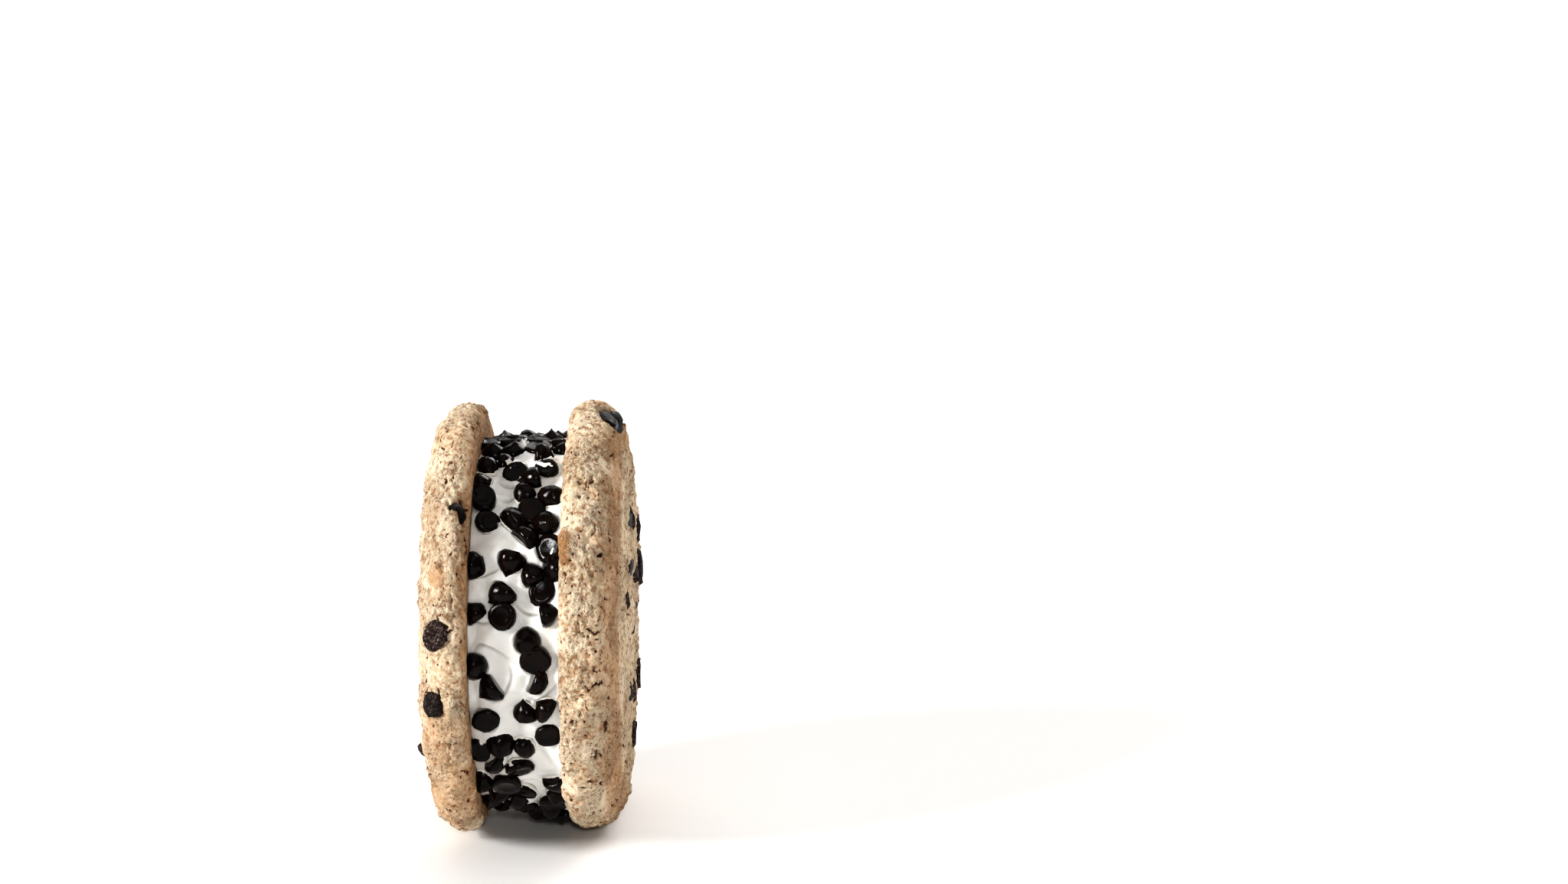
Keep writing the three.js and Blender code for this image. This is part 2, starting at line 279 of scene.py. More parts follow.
CLEAR_SPOTS = [  # turn, across, reach
    (4, -2, 4.9),
    (10, -5.2, 4.5),
    (-29, 7, 5),
    (39, -3.5, 4.2),
    (-18, 0, 4.2),
    (25, -7, 4.1),
    (-45, 3.5, 3.9),
]
PLACE_SEED = 11901
POSE_SEED = 5
POSES = [(0.34, 18, 0.15), (0.36, 88, -0.4), (0.3, 168, -0.35)]  # share of chips, lean, lift
POSE_LEAN = 16  # either way
POSE_LIFT = 0.2

FOLDS = [  # laps of ice cream seen from the front: turn and across of three points of its edge, height, reach
    ((4, -8), (9, -5.5), (3.4, -0.9), 0.8, 2.6),
    ((2, -1.2), (-2.5, -0.3), (-8.7, -2.2), 0.5, 2.0),
    ((31, -2.3), (28.7, -5), (28, -8), 0.7, 3.0),
    ((55, -3), (58, -0.7), (60, 1.7), 0.5, 2.0),
    ((-8, 2.5), (-6.5, 5), (-1, 7.8), 0.6, 2.5),
    ((-30, -7), (-26.5, -4), (-30, -0.5), 0.6, 2.2),
    ((17, -8), (15, -5.5), (17.5, -2.5), 0.4, 3.0),
    ((20, 6.5), (18, 3), (22, 0), 0.45, 3.0),
    ((48, -7), (45, -4), (50, -1), 0.6, 2.4),
    ((66, -4), (63, -1), (67, 3.5), 0.6, 2.0),
    ((40, 7), (38.5, 4), (42, 1), 0.5, 2.2),
    ((-44, -3), (-41, 1), (-45, 5), 0.5, 2.0),
]
FREE_FOLDS = 44  # others, placed by chance
FREE_FOLD_TURNS = (70, 295)
FREE_FOLD_ACROSS = (-8, 8)
FREE_FOLD_BOW = (-0.3, 0.3)
FREE_FOLD_HEIGHT = (0.3, 0.8)
FREE_FOLD_REACH = (1.5, 3.5)
FREE_FOLD_LENGTH = (5.0, 13.0)
FOLD_SEED = 77
FOLD_SAMPLES = 25  # along its edge
FOLD_NEAR = 12  # how far from its middle it is worked out
FOLD_EDGE = (-0.25, 0.35)  # how sharply it rises


# ---------------------------------------------------------------- the frame
def axis_place():
    """Where the sandwich's axis crosses the middle of the ice cream, in the frame, in millimetres."""
    ice_low, ice_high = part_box("ice_cream")
    cookie_low, cookie_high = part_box("cookie_right")
    across = (ice_low.x + ice_high.x) / 2
    depth = (cookie_low.y + cookie_high.y) / 2
    return np.array([across / MM, depth / MM, COOKIE_RADIUS - FLAT_DEPTH])


AXIS = axis_place()


def lerp(low, high, share):
    return low + (high - low) * share


def smooth_step(value, low, high):
    """0 up to low, 1 from high on, and smooth between."""
    share = np.clip((value - low) / (high - low), 0, 1)
    return share * share * (3 - 2 * share)


def random_from(seed):
    """The same draws each time, from 0 to 1."""
    factor, modulus = 48271, 2**31 - 1
    state = seed
    while True:
        state = state * factor % modulus
        yield state / modulus


def place_at(turn, radius, across):
    """The places at a turn, a distance from the axis and a distance across."""
    return np.stack(np.broadcast_arrays(across, -radius * np.cos(turn), radius * np.sin(turn)), axis=-1)


def turn_of(points):
    return np.arctan2(points[:, 2], -points[:, 1])


def seed_shift(seed):
    """How far noise is moved, so that each seed gives another part of it."""
    return Vector((seed * 7.3, seed * 3.1, seed * 11.7))


def noise_at(points, size, seed):
    """Smooth noise, about -1 to 1, in blobs of the given size."""
    shift = seed_shift(seed)
    return np.array([noise.noise(Vector(p) + shift) for p in points / size])


def cells_at(points, size, seed):
    """Distances to the nearest and next nearest of scattered seeds, in cells of about 1."""
    shift = seed_shift(seed)
    found = np.array([noise.voronoi(Vector(p) + shift)[0][:2] for p in points / size])
    return found[:, 0], found[:, 1]


def coordinates(mesh):
    flat = np.empty(len(mesh.vertices) * 3, np.float32)
    mesh.vertices.foreach_get("co", flat)
    return flat.reshape(-1, 3).astype(float)


def set_coordinates(mesh, points):
    mesh.vertices.foreach_set("co", points.astype(np.float32).ravel())
    mesh.update()


def normals_of(mesh):
    flat = np.empty(len(mesh.vertices) * 3, np.float32)
    mesh.vertex_normals.foreach_get("vector", flat)
    return flat.reshape(-1, 3).astype(float)


def store(mesh, name, values):
    """Keeps a number or a vector for each vertex, for the materials."""
    kind, field = ("FLOAT", "value") if values.ndim == 1 else ("FLOAT_VECTOR", "vector")
    layer = mesh.attributes.new(name, kind, "POINT")
    layer.data.foreach_set(field, values.astype(np.float32).ravel())


def turned(name, profile, steps, stations=None):
    """A closed mesh turned about X from a profile of (radius, across) pairs that starts and ends on the axis.

    Where each row's station is given, each vertex keeps its own.
    """
    rows = len(profile) - 1
    bm = bmesh.new()
    bmesh.ops.create_grid(bm, x_segments=rows, y_segments=steps, size=0.5)
    layer = bm.verts.layers.float.new("station")
    for point in bm.verts:
        row = round((point.co.x + 0.5) * rows)
        turn = (point.co.y + 0.5) * 2 * math.pi
        radius, across = profile[row]
        point[layer] = stations[row] if stations is not None else 0
        point.co = (across, -radius * math.cos(turn), radius * math.sin(turn))
    bmesh.ops.remove_doubles(bm, verts=bm.verts, dist=1e-3)
    bmesh.ops.recalc_face_normals(bm, faces=bm.faces)
    for face in bm.faces:
        face.smooth = True
    mesh = bpy.data.meshes.new(name)
    bm.to_mesh(mesh)
    bm.free()
    return mesh


def add_piece(name, mesh, material, slot, *nodes):
    """Puts a mesh that is in millimetres about the axis into the frame."""
    set_coordinates(mesh, (coordinates(mesh) + AXIS) * MM)
    mesh.materials.append(material)
    piece = bpy.data.objects.new(name, mesh)
    bpy.context.scene.collection.objects.link(piece)
    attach(piece, "root")
    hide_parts(*nodes)


# ---------------------------------------------------------------- chips
def draw_pose(random):
    """How a chip lies, by chance: on its base, on its side or nearly upside down."""
    draw = next(random)
    lean, lift = POSES[0][1:]
    for share, pose_lean, pose_lift in POSES:
        draw -= share
        if draw < 0:
            lean, lift = pose_lean, pose_lift
            break
    return SimpleNamespace(
        lean=math.radians(lean + lerp(-POSE_LEAN, POSE_LEAN, next(random))),
        lift=lift + lerp(-POSE_LIFT, POSE_LIFT, next(random)),
        heading=2 * math.pi * next(random),
        size=lerp(*CHIP_SIZE, next(random)),
    )


def chip_matrix(at, outward, pose):
    """Stands a chip at a place. Its axis, X from base to tip, leans off the outward way to a heading."""
    outward = Vector(outward)
    aside = Vector((0.9, 0.3, 0.3))
    hinge = outward.cross(aside).normalized()
    hinge.rotate(Quaternion(outward, pose.heading))
    axis = outward.copy()
    axis.rotate(Quaternion(hinge, pose.lean))
    turn = Vector((1, 0, 0)).rotation_difference(axis)
    return Matrix.LocRotScale(Vector(at) + outward * pose.lift, turn, Vector((pose.size,) * 3))


def chips_mesh(name, matrices, unevenness, seed):
    """One mesh of many chips, each with its own size, bend and dents, and as uneven as given for it."""
    profile = [(side * CHIP_RADIUS, (height - CHIP_MIDDLE) * CHIP_RADIUS) for side, height in CHIP_PROFILE]
    one = turned("chip", profile, CHIP_SIDES)
    shape = coordinates(one)
    bm = bmesh.new()
    for _ in matrices:
        bm.from_mesh(one)
    mesh = bpy.data.meshes.new(name)
    bm.to_mesh(mesh)
    bm.free()
    bpy.data.meshes.remove(one)

    random = random_from(seed)
    tip = np.clip((shape[:, 0] / CHIP_RADIUS + CHIP_MIDDLE - 0.5) / 1.1, 0, 1)  # 1 near its tip
    large, small = CHIP_DENTS
    chips = []
    for number, (matrix, uneven) in enumerate(zip(matrices, unevenness)):
        chip = shape.copy()
        squash = lerp(*CHIP_SQUASH, next(random))
        chip[:, 1] *= squash
        chip[:, 2] /= squash
        chip[:, 0] *= lerp(*CHIP_HEIGHT, next(random))
        bend = lerp(*CHIP_BEND, next(random))
        heading = 2 * math.pi * next(random)
        chip[:, 1] += bend * math.cos(heading) * tip**2
        chip[:, 2] += bend * math.sin(heading) * tip**2
        rough = noise_at(shape, large, number + seed) + 0.4 * noise_at(shape, small, number + seed + 0.5)
        chip *= (1 + uneven * rough)[:, None]
        turn = np.array(matrix.to_3x3())
        chips.append(chip @ turn.T + np.array(matrix.translation))
    points = np.concatenate(chips)
    set_coordinates(mesh, points)
    return mesh, points


# ---------------------------------------------------------------- ice cream
def smear_at(turn, across):
    """Low waves left by spreading."""
    return SMEAR * (np.sin(5 * turn + 0.5 * across) + 0.7 * np.sin(13 * turn - 0.8 * across + 2))


def filling_point(turn, across, height):
    """A point at a height over the ice cream's plain side."""
    share = across / FILLING_WIDTH + 0.5
    radius = lerp(*FILLING_RADIUS, share) + height
    point = place_at(turn, radius, across)
    point[..., 2] -= lerp(*FILLING_SAG, share)
    return point


def rolled_chips():
    """First those seen from the front, then others by chance.

    They lie thickest above, below and towards the right cookie, and nowhere on the clear spots.
    """
    places, poses = random_from(PLACE_SEED), random_from(POSE_SEED)
    clear = [(filling_point(math.radians(turn), across, 0), reach) for turn, across, reach in CLEAR_SPOTS]
    spots, matrices = [], []

    def place(turn, across):
        spots.append(filling_point(turn, across, 0))
        at = filling_point(turn, across, smear_at(turn, across))
        matrices.append(chip_matrix(at, place_at(turn, 1.0, 0.0), draw_pose(poses)))

    for turn, across in FRONT_CHIPS:
        place(math.radians(turn), across)
    for _ in range(CHIP_THROWS):
        turn = (2 * next(places) - 1) * math.pi
        share = next(places) - 0.5
        thickness = CROWD_MIDDLE + CROWD_RIGHT * share + CROWD_ABOVE_BELOW * math.sin(turn) ** 2
        spacing = lerp(*CHIP_SPACING, min(max(thickness, 0), 1))
        spot = filling_point(turn, share * CHIP_BAND, 0)
        if np.linalg.norm(np.array(spots) - spot, axis=1).min() < spacing:
            continue
        if all(np.linalg.norm(spot - middle) > reach for middle, reach in clear):
            place(turn, share * CHIP_BAND)
    return matrices


def distance_to_chips(points, matrices):
    """Roughly how far each point is outside the nearest chip, negative inside one."""
    radii, heights = (np.array(side) * CHIP_RADIUS for side in zip(*CHIP_PROFILE[2:]))
    nearest = np.full(len(points), CHIP_FAR)
    for matrix in matrices:
        close = np.flatnonzero(np.linalg.norm(points - np.array(matrix.translation), axis=1) < CHIP_NEAR)
        back = np.array(matrix.inverted())
        local = points[close] @ back[:3, :3].T + back[:3, 3]
        height = local[:, 0] + CHIP_MIDDLE * CHIP_RADIUS
        side = np.hypot(local[:, 1], local[:, 2]) - np.interp(height, heights, radii)
        outside = np.maximum(side, np.maximum(-height, height - heights[-1]))
        nearest[close] = np.minimum(nearest[close], outside)
    return nearest


def all_folds():
    """The folds seen from the front, then others by chance, as lengths on the side unrolled."""
    around = np.mean(FILLING_RADIUS)
    folds = [
        ([(math.radians(turn) * around, across) for turn, across in (first, middle, last)], height, reach)
        for first, middle, last, height, reach in FOLDS
    ]
    random = random_from(FOLD_SEED)
    for _ in range(FREE_FOLDS):
        turn, across = lerp(*FREE_FOLD_TURNS, next(random)), lerp(*FREE_FOLD_ACROSS, next(random))
        middle = np.array([turn * math.pi / 180 * around, across])
        heading, bow = 2 * math.pi * next(random), lerp(*FREE_FOLD_BOW, next(random))
        along = lerp(*FREE_FOLD_LENGTH, next(random)) / 2 * np.array([math.cos(heading), math.sin(heading)])
        bulge = bow * np.array([-along[1], along[0]])
        height, reach = lerp(*FREE_FOLD_HEIGHT, next(random)), lerp(*FREE_FOLD_REACH, next(random))
        folds.append(([middle - along, middle + bulge, middle + along], height, reach))
    return folds


def fold_relief(turn, across, wander):
    """Laps of ice cream. Each stands up sharply along its edge and sinks away behind it.

    Also how deep each point is in the groove under such an edge.
    """
    around = np.mean(FILLING_RADIUS)
    share = np.linspace(0, 1, FOLD_SAMPLES)[:, None]
    relief, groove = np.zeros((2, len(turn)))
    for points, height, reach in all_folds():
        first, middle, last = np.array(points)
        steer = 2 * middle - (first + last) / 2
        edge = (1 - share) ** 2 * first + 2 * share * (1 - share) * steer + share**2 * last
        heading = 2 * (1 - share) * (steer - first) + 2 * share * (last - steer)
        away = (turn - middle[0] / around + math.pi) % (2 * math.pi) - math.pi
        places = np.stack([away * around + middle[0], across], axis=-1) + wander
        close = np.flatnonzero(np.abs(places - middle).max(axis=1) < FOLD_NEAR)
        offset = places[close, None, :] - edge[None]
        distance = np.linalg.norm(offset, axis=2)
        nearest = distance.argmin(axis=1)
        rows = np.arange(len(close))
        near_heading, near_offset = heading[nearest], offset[rows, nearest]
        side = np.sign(near_heading[:, 1] * near_offset[:, 0] - near_heading[:, 0] * near_offset[:, 1])
        signed = side * distance[rows, nearest]
        fade = np.sin(math.pi * share[nearest, 0]) ** 0.7
        rise = smooth_step(signed, *FOLD_EDGE)
        relief[close] += height * fade * rise * np.exp(-np.maximum(signed, 0) / reach)
        groove[close] = np.maximum(groove[close], fade * np.exp(-(((signed + 0.3) / GROOVE_WIDTH) ** 2)))
    return relief, groove


def ice_cream_relief(points, turn, across, matrices):
    """Soft waves with folds lapping over them, pushed up round each chip and along the right cookie."""
    flow = np.stack([noise_at(points, FLOW_SIZE, seed) for seed in (3, 4, 5)], axis=-1)
    wave = np.abs(noise_at(points + 3 * flow, WAVE_SIZE, 6))
    crinkle = np.abs(noise_at(points + 1.5 * flow, CRINKLE_SIZE, 7))
    relief = WAVE_HEIGHT * (wave / 0.5) ** 0.8 + CRINKLE_HEIGHT * (crinkle / 0.5) ** 0.9
    relief = relief + RIPPLE_HEIGHT * noise_at(points, RIPPLE_SIZE, 9) - MEAN_HEIGHT
    folds, groove = fold_relief(turn, across, 0.9 * flow[:, :2])
    relief += folds - GROOVE_DEPTH * groove
    beside = np.exp(-(FILLING_WIDTH / 2 - across) / BEAD_WIDTH)
    relief += beside * (BEAD_HEIGHT + np.maximum(relief, BEAD_HEIGHT) - relief)
    outside = distance_to_chips(points, matrices)
    lip = LIP_HEIGHT * np.exp(-((outside / LIP_WIDTH) ** 2))
    lip = np.where(outside > 0, lip, LIP_HEIGHT + outside * LIP_SLOPE)
    return relief + np.maximum(lip, -LIP_DEPTH), groove


def make_ice_cream(matrices, material):
    half = FILLING_WIDTH / 2 + STICKING
    rows = np.linspace(-half, half, FILLING_ROWS)
    profile = [(0, -half), *[(COOKIE_RADIUS, across) for across in rows], (0, half)]
    mesh = turned("ice_cream_body", profile, FILLING_STEPS)
    points = coordinates(mesh)
    turn, across = turn_of(points), points[:, 0]
    rim = np.hypot(points[:, 1], points[:, 2]) > 1
    smears = smear_at(turn, across)
    relief, groove = ice_cream_relief(filling_point(turn, across, smears), turn, across, matrices)
    points[rim] = filling_point(turn, across, smears + relief)[rim]
    set_coordinates(mesh, points)
    store(mesh, "groove", groove)
    store(mesh, "near_chip", 1 - smooth_step(distance_to_chips(points, matrices), 0, DUST_REACH))
    add_piece("ice_cream_body", mesh, material, "ice_cream", "ice_cream")


def make_rolled_chips(matrices, material):
    half = (FILLING_WIDTH - FIT_GAP) / 2
    mesh, points = chips_mesh("rolled_chips", matrices, [ROLLED_UNEVENNESS] * len(matrices), ROLLED_SEED)
    points[:, 0] = np.clip(points[:, 0], -half, half)  # pressed flat against the cookies
    set_coordinates(mesh, points)
    turn = turn_of(points)
    surface = filling_point(turn, points[:, 0], smear_at(turn, points[:, 0]))
    proud = np.hypot(points[:, 1], points[:, 2]) - np.hypot(surface[:, 1], surface[:, 2])
    store(mesh, "proud", proud)
    add_piece("rolled_chips", mesh, material, "chocolate", "ice_cream")


# ---------------------------------------------------------------- cookies
def profile_at(cookie, station):
    """A cookie's half profile, as the distance from the axis and the height above the flat side.

    Station -2 is the middle of the flat side, -1 its edge, 0 the widest point of the rim, 1 where the rim
    meets the top and 2 the middle of the top.
    """
    station = np.asarray(station, float)
    widest = cookie.rim * WIDEST_SHARE
    angle = np.clip(station, -1, 1) * math.pi / 2
    rounding = np.where(station < 0, INNER_ROUNDING, OUTER_ROUNDING)
    rise = np.where(station < 0, widest, cookie.rim - widest)
    fullness = np.where(station < 0, 1, cookie.fullness)
    reach = np.clip(2 - np.abs(station), 0, 1)
    radius = (COOKIE_RADIUS - rounding * (1 - np.maximum(np.cos(angle), 0) ** fullness)) * reach
    dome = np.where(station > 0, cookie.dome * (1 - (radius / COOKIE_RADIUS) ** 2), 0)
    return radius, widest + rise * np.sign(angle) * np.abs(np.sin(angle)) ** fullness + dome


def outline_at(cookie, turn):
    """The outline's size at a turn, near 1."""
    strays = [
        bulge * np.sin(waves * turn + cookie.seed * (i + 1))
        for i, (bulge, waves) in enumerate(zip(cookie.bulges, BULGE_WAVES))
    ]
    return 1 + sum(strays) / COOKIE_RADIUS


def cookie_point(cookie, turn, station):
    radius, height = profile_at(cookie, station)
    return place_at(turn, radius * outline_at(cookie, turn), cookie.outward * (FILLING_WIDTH / 2 + height))


def cookie_normal(cookie, turn, station):
    step = 0.02
    (near, low), (far, high) = (profile_at(cookie, station + side * step) for side in (-1, 1))
    normal = place_at(turn, high - low, cookie.outward * (near - far))
    return normal / np.linalg.norm(normal)


def lumps_of(cookie):
    """A cookie's swellings, dents and hollows, each as a place, a height and a width."""
    random = random_from(cookie.seed)
    lumps = []
    for _ in range(LUMPS):
        turn = next(random) * 2 * math.pi
        station = lerp(*LUMP_STATIONS, next(random))
        height, width = lerp(*LUMP_HEIGHT, next(random)), lerp(*LUMP_WIDTH, next(random))
        lumps.append((cookie_point(cookie, turn, station), height, width))
    for turn, station, height, width in cookie.hollows:
        lumps.append((cookie_point(cookie, math.radians(turn), station), height, width))
    return lumps


def baked_chips(cookie):
    """Chips baked into a cookie, those seen from the front and then others by chance.

    Also how greyed and how uneven each is.
    """
    random = random_from(cookie.seed * 101)
    placed, matrices, blooms, unevenness = [], [], [], []

    def place(turn, station, pose, bloom, uneven):
        placed.append(cookie_point(cookie, turn, station))
        matrices.append(chip_matrix(placed[-1], cookie_normal(cookie, turn, station), pose))
        blooms.append(bloom)
        unevenness.append(uneven)

    for turn, station, lean, lift, size, bloom, uneven in cookie.chips:
        pose = draw_pose(random)
        pose.lean, pose.lift, pose.size = math.radians(lean), lift, size
        place(math.radians(turn), station, pose, bloom, uneven)
    while len(placed) < len(cookie.chips) + cookie.free_chips:
        turn = 2 * math.pi * next(random)
        station = lerp(*FREE_CHIP_STATIONS, math.sqrt(next(random)))
        if station < CLEAR_STATION and math.cos(turn) > CLEAR_COSINE:
            continue
        at = cookie_point(cookie, turn, station)
        if np.linalg.norm(np.array(placed) - at, axis=1).min() < FREE_CHIP_SPACING:
            continue
        pose = draw_pose(random)
        pose.lean = math.radians(lerp(*FREE_CHIP_LEAN, next(random)))
        pose.size *= FREE_CHIP_SIZE
        reach = CHIP_RADIUS * pose.size * (math.sin(pose.lean) - CHIP_MIDDLE * math.cos(pose.lean))
        pose.lift = FREE_CHIP_PROUD - reach
        bloom = lerp(*FREE_CHIP_BLOOM, pose.heading / (2 * math.pi))
        place(turn, station, pose, bloom, FREE_CHIP_UNEVENNESS)
    return matrices, blooms, unevenness


def cookie_stations():
    """Where the profile has a row: close together on the rim, further apart towards the middles."""
    inner = np.linspace(-1, 0, INNER_ROWS, endpoint=False)
    outer = np.linspace(0, 1, OUTER_ROWS, endpoint=False)
    top = 1 + np.linspace(0, 1, TOP_ROWS) ** TOP_CROWDING
    return np.concatenate([FLAT_SIDE_STATIONS, inner, outer, top])


def grain_lengths(cookie, stations):
    """For each station, a length round the axis and one along the profile, to lay out the crumb's grain in.

    The length round is a share of the real one near the rim, so that pores are longer there along the rim.
    """
    radius, height = profile_at(cookie, stations)
    stretch = lerp(1, GRAIN_STRETCH, smooth_step(radius, *GRAIN_RADII))
    around = radius / stretch
    along = np.sqrt(np.maximum(np.diff(radius) ** 2 + np.diff(height) ** 2 - np.diff(around) ** 2, 0))
    return around, np.concatenate([[0], np.cumsum(along)])


def profile_length(cookie, station):
    """How far a station is along a cookie's profile."""
    stations = np.linspace(-2, 2, PROFILE_SAMPLES)
    radius, height = profile_at(cookie, stations)
    lengths = np.concatenate([[0], np.cumsum(np.hypot(np.diff(radius), np.diff(height)))])
    return np.interp(station, stations, lengths)


def near_marks(cookie, marks, turn, station):
    """For each mark, how far each point lies from it round the axis and along the profile."""
    place = profile_length(cookie, station)
    for mark in marks:
        away = (turn - math.radians(mark[0]) + math.pi) % (2 * math.pi) - math.pi
        yield mark, away * COOKIE_RADIUS, place - profile_length(cookie, mark[1])


def cuts_at(cookie, warp, turn, station):
    """How far each point is inside the cookie's own cuts, 0 to 1, and how deep it goes there."""
    inside, depth = np.zeros((2, len(turn)))
    for (_, _, heading, length, width, deep), around, along in near_marks(cookie, cookie.cuts, turn, station):
        tilt = math.radians(heading)
        ragged = (0.2 + 0.5 * width) * warp
        lengthwise = around * math.sin(tilt) + along * math.cos(tilt) + ragged[:, 0]
        sideways = around * math.cos(tilt) - along * math.sin(tilt) + ragged[:, 1]
        cut = np.exp(-((lengthwise / length) ** 4) - (sideways / width) ** 4)
        inside, depth = np.maximum(inside, cut), np.maximum(depth, deep * cut)
    return inside, depth


def browning_at(cookie, swell, warp, turn, station):
    """How brown the dough is, 0 to 1: its edges, its top and its own marks. Partly baked browning and partly
    painted shade, which is why the two cookies differ.
    """
    browned = cookie.toast * smooth_step(-station - 0.35 * swell, *TOAST_BAND)
    wavy = station + 0.2 * swell
    edge = smooth_step(wavy, *CRUST_BAND) * (1 - smooth_step(wavy, *CRUST_END))
    browned = np.maximum(browned, cookie.crust * edge)
    browned = np.maximum(browned, cookie.tan * smooth_step(wavy, *TAN_BAND))
    for (_, _, reach, strength), around, along in near_marks(cookie, cookie.browned, turn, station):
        spread = np.hypot(around, along) + 0.9 * warp[:, 2]
        browned = np.maximum(browned, strength * (1 - smooth_step(spread, 0.6 * reach, reach)))
    return browned


def nests_at(points, chips):
    """A low bead round each baked chip, and a hollow that it sits in."""
    away = np.min([np.linalg.norm(points - np.array(chip.translation), axis=1) for chip in chips], axis=0)
    bead_reach, bead_width, bead_height = NEST_BEAD
    hollow_width, hollow_depth = NEST_HOLLOW
    bead = bead_height * np.exp(-(((away - bead_reach) / bead_width) ** 2))
    return bead - hollow_depth * np.exp(-((away / hollow_width) ** 2))


def cookie_relief(cookie, points, grain, turn, station, chips):
    """How far the baked surface stands out, and what the dough's material needs.

    That is how hollow it is in cracks, pores and cuts, which the material darkens as painted shade, how
    coarse its crumb is and how brown it is, partly as painted shade.
    """
    seed = cookie.seed
    lumps = sum(
        height * np.exp(-((points - at) ** 2).sum(1) / width**2) for at, height, width in lumps_of(cookie)
    )
    warp = np.stack([noise_at(points, WARP_SIZE, seed + k) for k in (1, 2, 3)], axis=-1)
    coarse = smooth_step(noise_at(points, PATCH_SIZE, seed + 4), -0.25, 0.25)
    near, next_near = cells_at(points + 0.7 * warp, CRUMB_SIZE, seed + 5)
    crumb = np.clip((next_near - near) / CRUMB_GAP, 0, 1) ** 0.6 - 0.6
    fine = noise_at(points, FINE_SIZE, seed + 6)
    broad, less_broad = SWELL_SIZES
    swell = noise_at(points, broad, seed + 11) + 0.6 * noise_at(points, less_broad, seed + 12)
    near, next_near = cells_at(grain + 0.5 * warp, CRACK_SPACING, seed + 7)
    split = smooth_step(noise_at(grain, CRACK_PATCH_SIZE, seed + 8), 0.28, 0.45)
    crack = (1 - smooth_step(next_near - near, 0.01, 0.08)) * split
    clusters = smooth_step(noise_at(points, PORE_PATCH_SIZE, seed + 10), -0.05, 0.3)
    pore = smooth_step(noise_at(points + 0.3 * warp, PORE_SIZE, seed + 9), 0.35, 0.5) * clusters
    slit, depth = cuts_at(cookie, warp, turn, station)

    baked = smooth_step(station, *BAKED_BAND)
    texture = lerp(*CRUMB_HEIGHT, coarse) * crumb + lerp(*FINE_HEIGHT, coarse) * fine
    relief = lumps + SWELL_HEIGHT * swell + nests_at(points, chips) + texture
    relief = relief - CRACK_DEPTH * crack - PORE_DEPTH * pore - depth
    hollow = np.clip(np.maximum(0.55 * crack, np.maximum(0.9 * pore, 1.3 * slit)), 0, 1)
    return relief * baked, hollow * baked, coarse, browning_at(cookie, swell, warp, turn, station)


def make_cookie(cookie, dough, chocolate):
    stations = cookie_stations()
    radii, heights = profile_at(cookie, stations)
    start = FILLING_WIDTH / 2
    profile = [(radius, cookie.outward * (start + height)) for radius, height in zip(radii, heights)]
    mesh = turned(cookie.node + "_dough", profile, COOKIE_STEPS, stations)
    points = coordinates(mesh)
    turn = turn_of(points)
    points[:, 1:] *= outline_at(cookie, turn)[:, None]
    set_coordinates(mesh, points)
    station = np.empty(len(points), np.float32)
    mesh.attributes["station"].data.foreach_get("value", station)
    around, along = grain_lengths(cookie, stations)
    around, along = np.interp(station, stations, around), np.interp(station, stations, along)
    grain = np.stack([around * np.cos(turn), around * np.sin(turn), along], axis=-1)

    chips, blooms, unevenness = baked_chips(cookie)
    relief, hollow, coarse, browned = cookie_relief(cookie, points, grain, turn, station, chips)
    points += normals_of(mesh) * relief[:, None]
    chip_mesh, chip_points = chips_mesh(cookie.node + "_chips", chips, unevenness, cookie.seed)

    # The lowest point goes a little under the floor, and what is under the floor is pressed flat.
    shift = -FLAT_DEPTH - points[:, 2].min() - (COOKIE_RADIUS - FLAT_DEPTH)
    for each in (points, chip_points):
        each[:, 2] = np.maximum(each[:, 2] + shift, FLAT_DEPTH - COOKIE_RADIUS)
    set_coordinates(mesh, points)
    set_coordinates(chip_mesh, chip_points)
    store(mesh, "grain", grain)
    store(mesh, "hollow", hollow)
    store(mesh, "coarse", coarse)
    store(mesh, "browned", browned)
    store(chip_mesh, "bloom", np.repeat(blooms, len(chip_points) // len(chips)))
    add_piece(cookie.node + "_dough", mesh, dough, "cookie", cookie.node)
    add_piece(cookie.node + "_chips", chip_mesh, chocolate, "chocolate", cookie.node)


# ---------------------------------------------------------------- materials
def add_node(tree, kind, inputs=None, **settings):
    """A new node with its settings, and its inputs set or linked by name or number."""
    made = tree.nodes.new(kind)
    for name, value in settings.items():
        setattr(made, name, value)
    for name, value in (inputs or {}).items():
        if isinstance(value, bpy.types.NodeSocket):
            tree.links.new(value, made.inputs[name])
        else:
            made.inputs[name].default_value = value
    return made


def colour(red, green, blue):
    """A screen colour, 0 to 255, as the shader's own."""
    linear = [c / 255 / 12.92 if c <= 10 else ((c / 255 + 0.055) / 1.055) ** 2.4 for c in (red, green, blue)]
    return (*linear, 1.0)


def mix_colours(tree, share, first, second):
    """The first colour, with a share of the second in it."""
    node = add_node(tree, "ShaderNodeMix", data_type="RGBA")
    for socket, value in ((node.inputs[0], share), (node.inputs[6], first), (node.inputs[7], second)):
        if isinstance(value, bpy.types.NodeSocket):
            tree.links.new(value, socket)
        else:
            socket.default_value = value
    return node.outputs[2]


def ranged(tree, value, low, high, to_low=0.0, to_high=1.0):
    """Maps a value smoothly from one range to another."""
    node = add_node(
        tree,
        "ShaderNodeMapRange",
        {"Value": value, "From Min": low, "From Max": high, "To Min": to_low, "To Max": to_high},
        interpolation_type="SMOOTHSTEP",
    )
    return node.outputs[0]


def maths(tree, operation, first, second):
    return add_node(tree, "ShaderNodeMath", {0: first, 1: second}, operation=operation).outputs[0]


def plus(tree, first, second):
    return maths(tree, "ADD", first, second)


def minus(tree, first, second):
    return maths(tree, "SUBTRACT", first, second)


def times(tree, first, second):
    return maths(tree, "MULTIPLY", first, second)


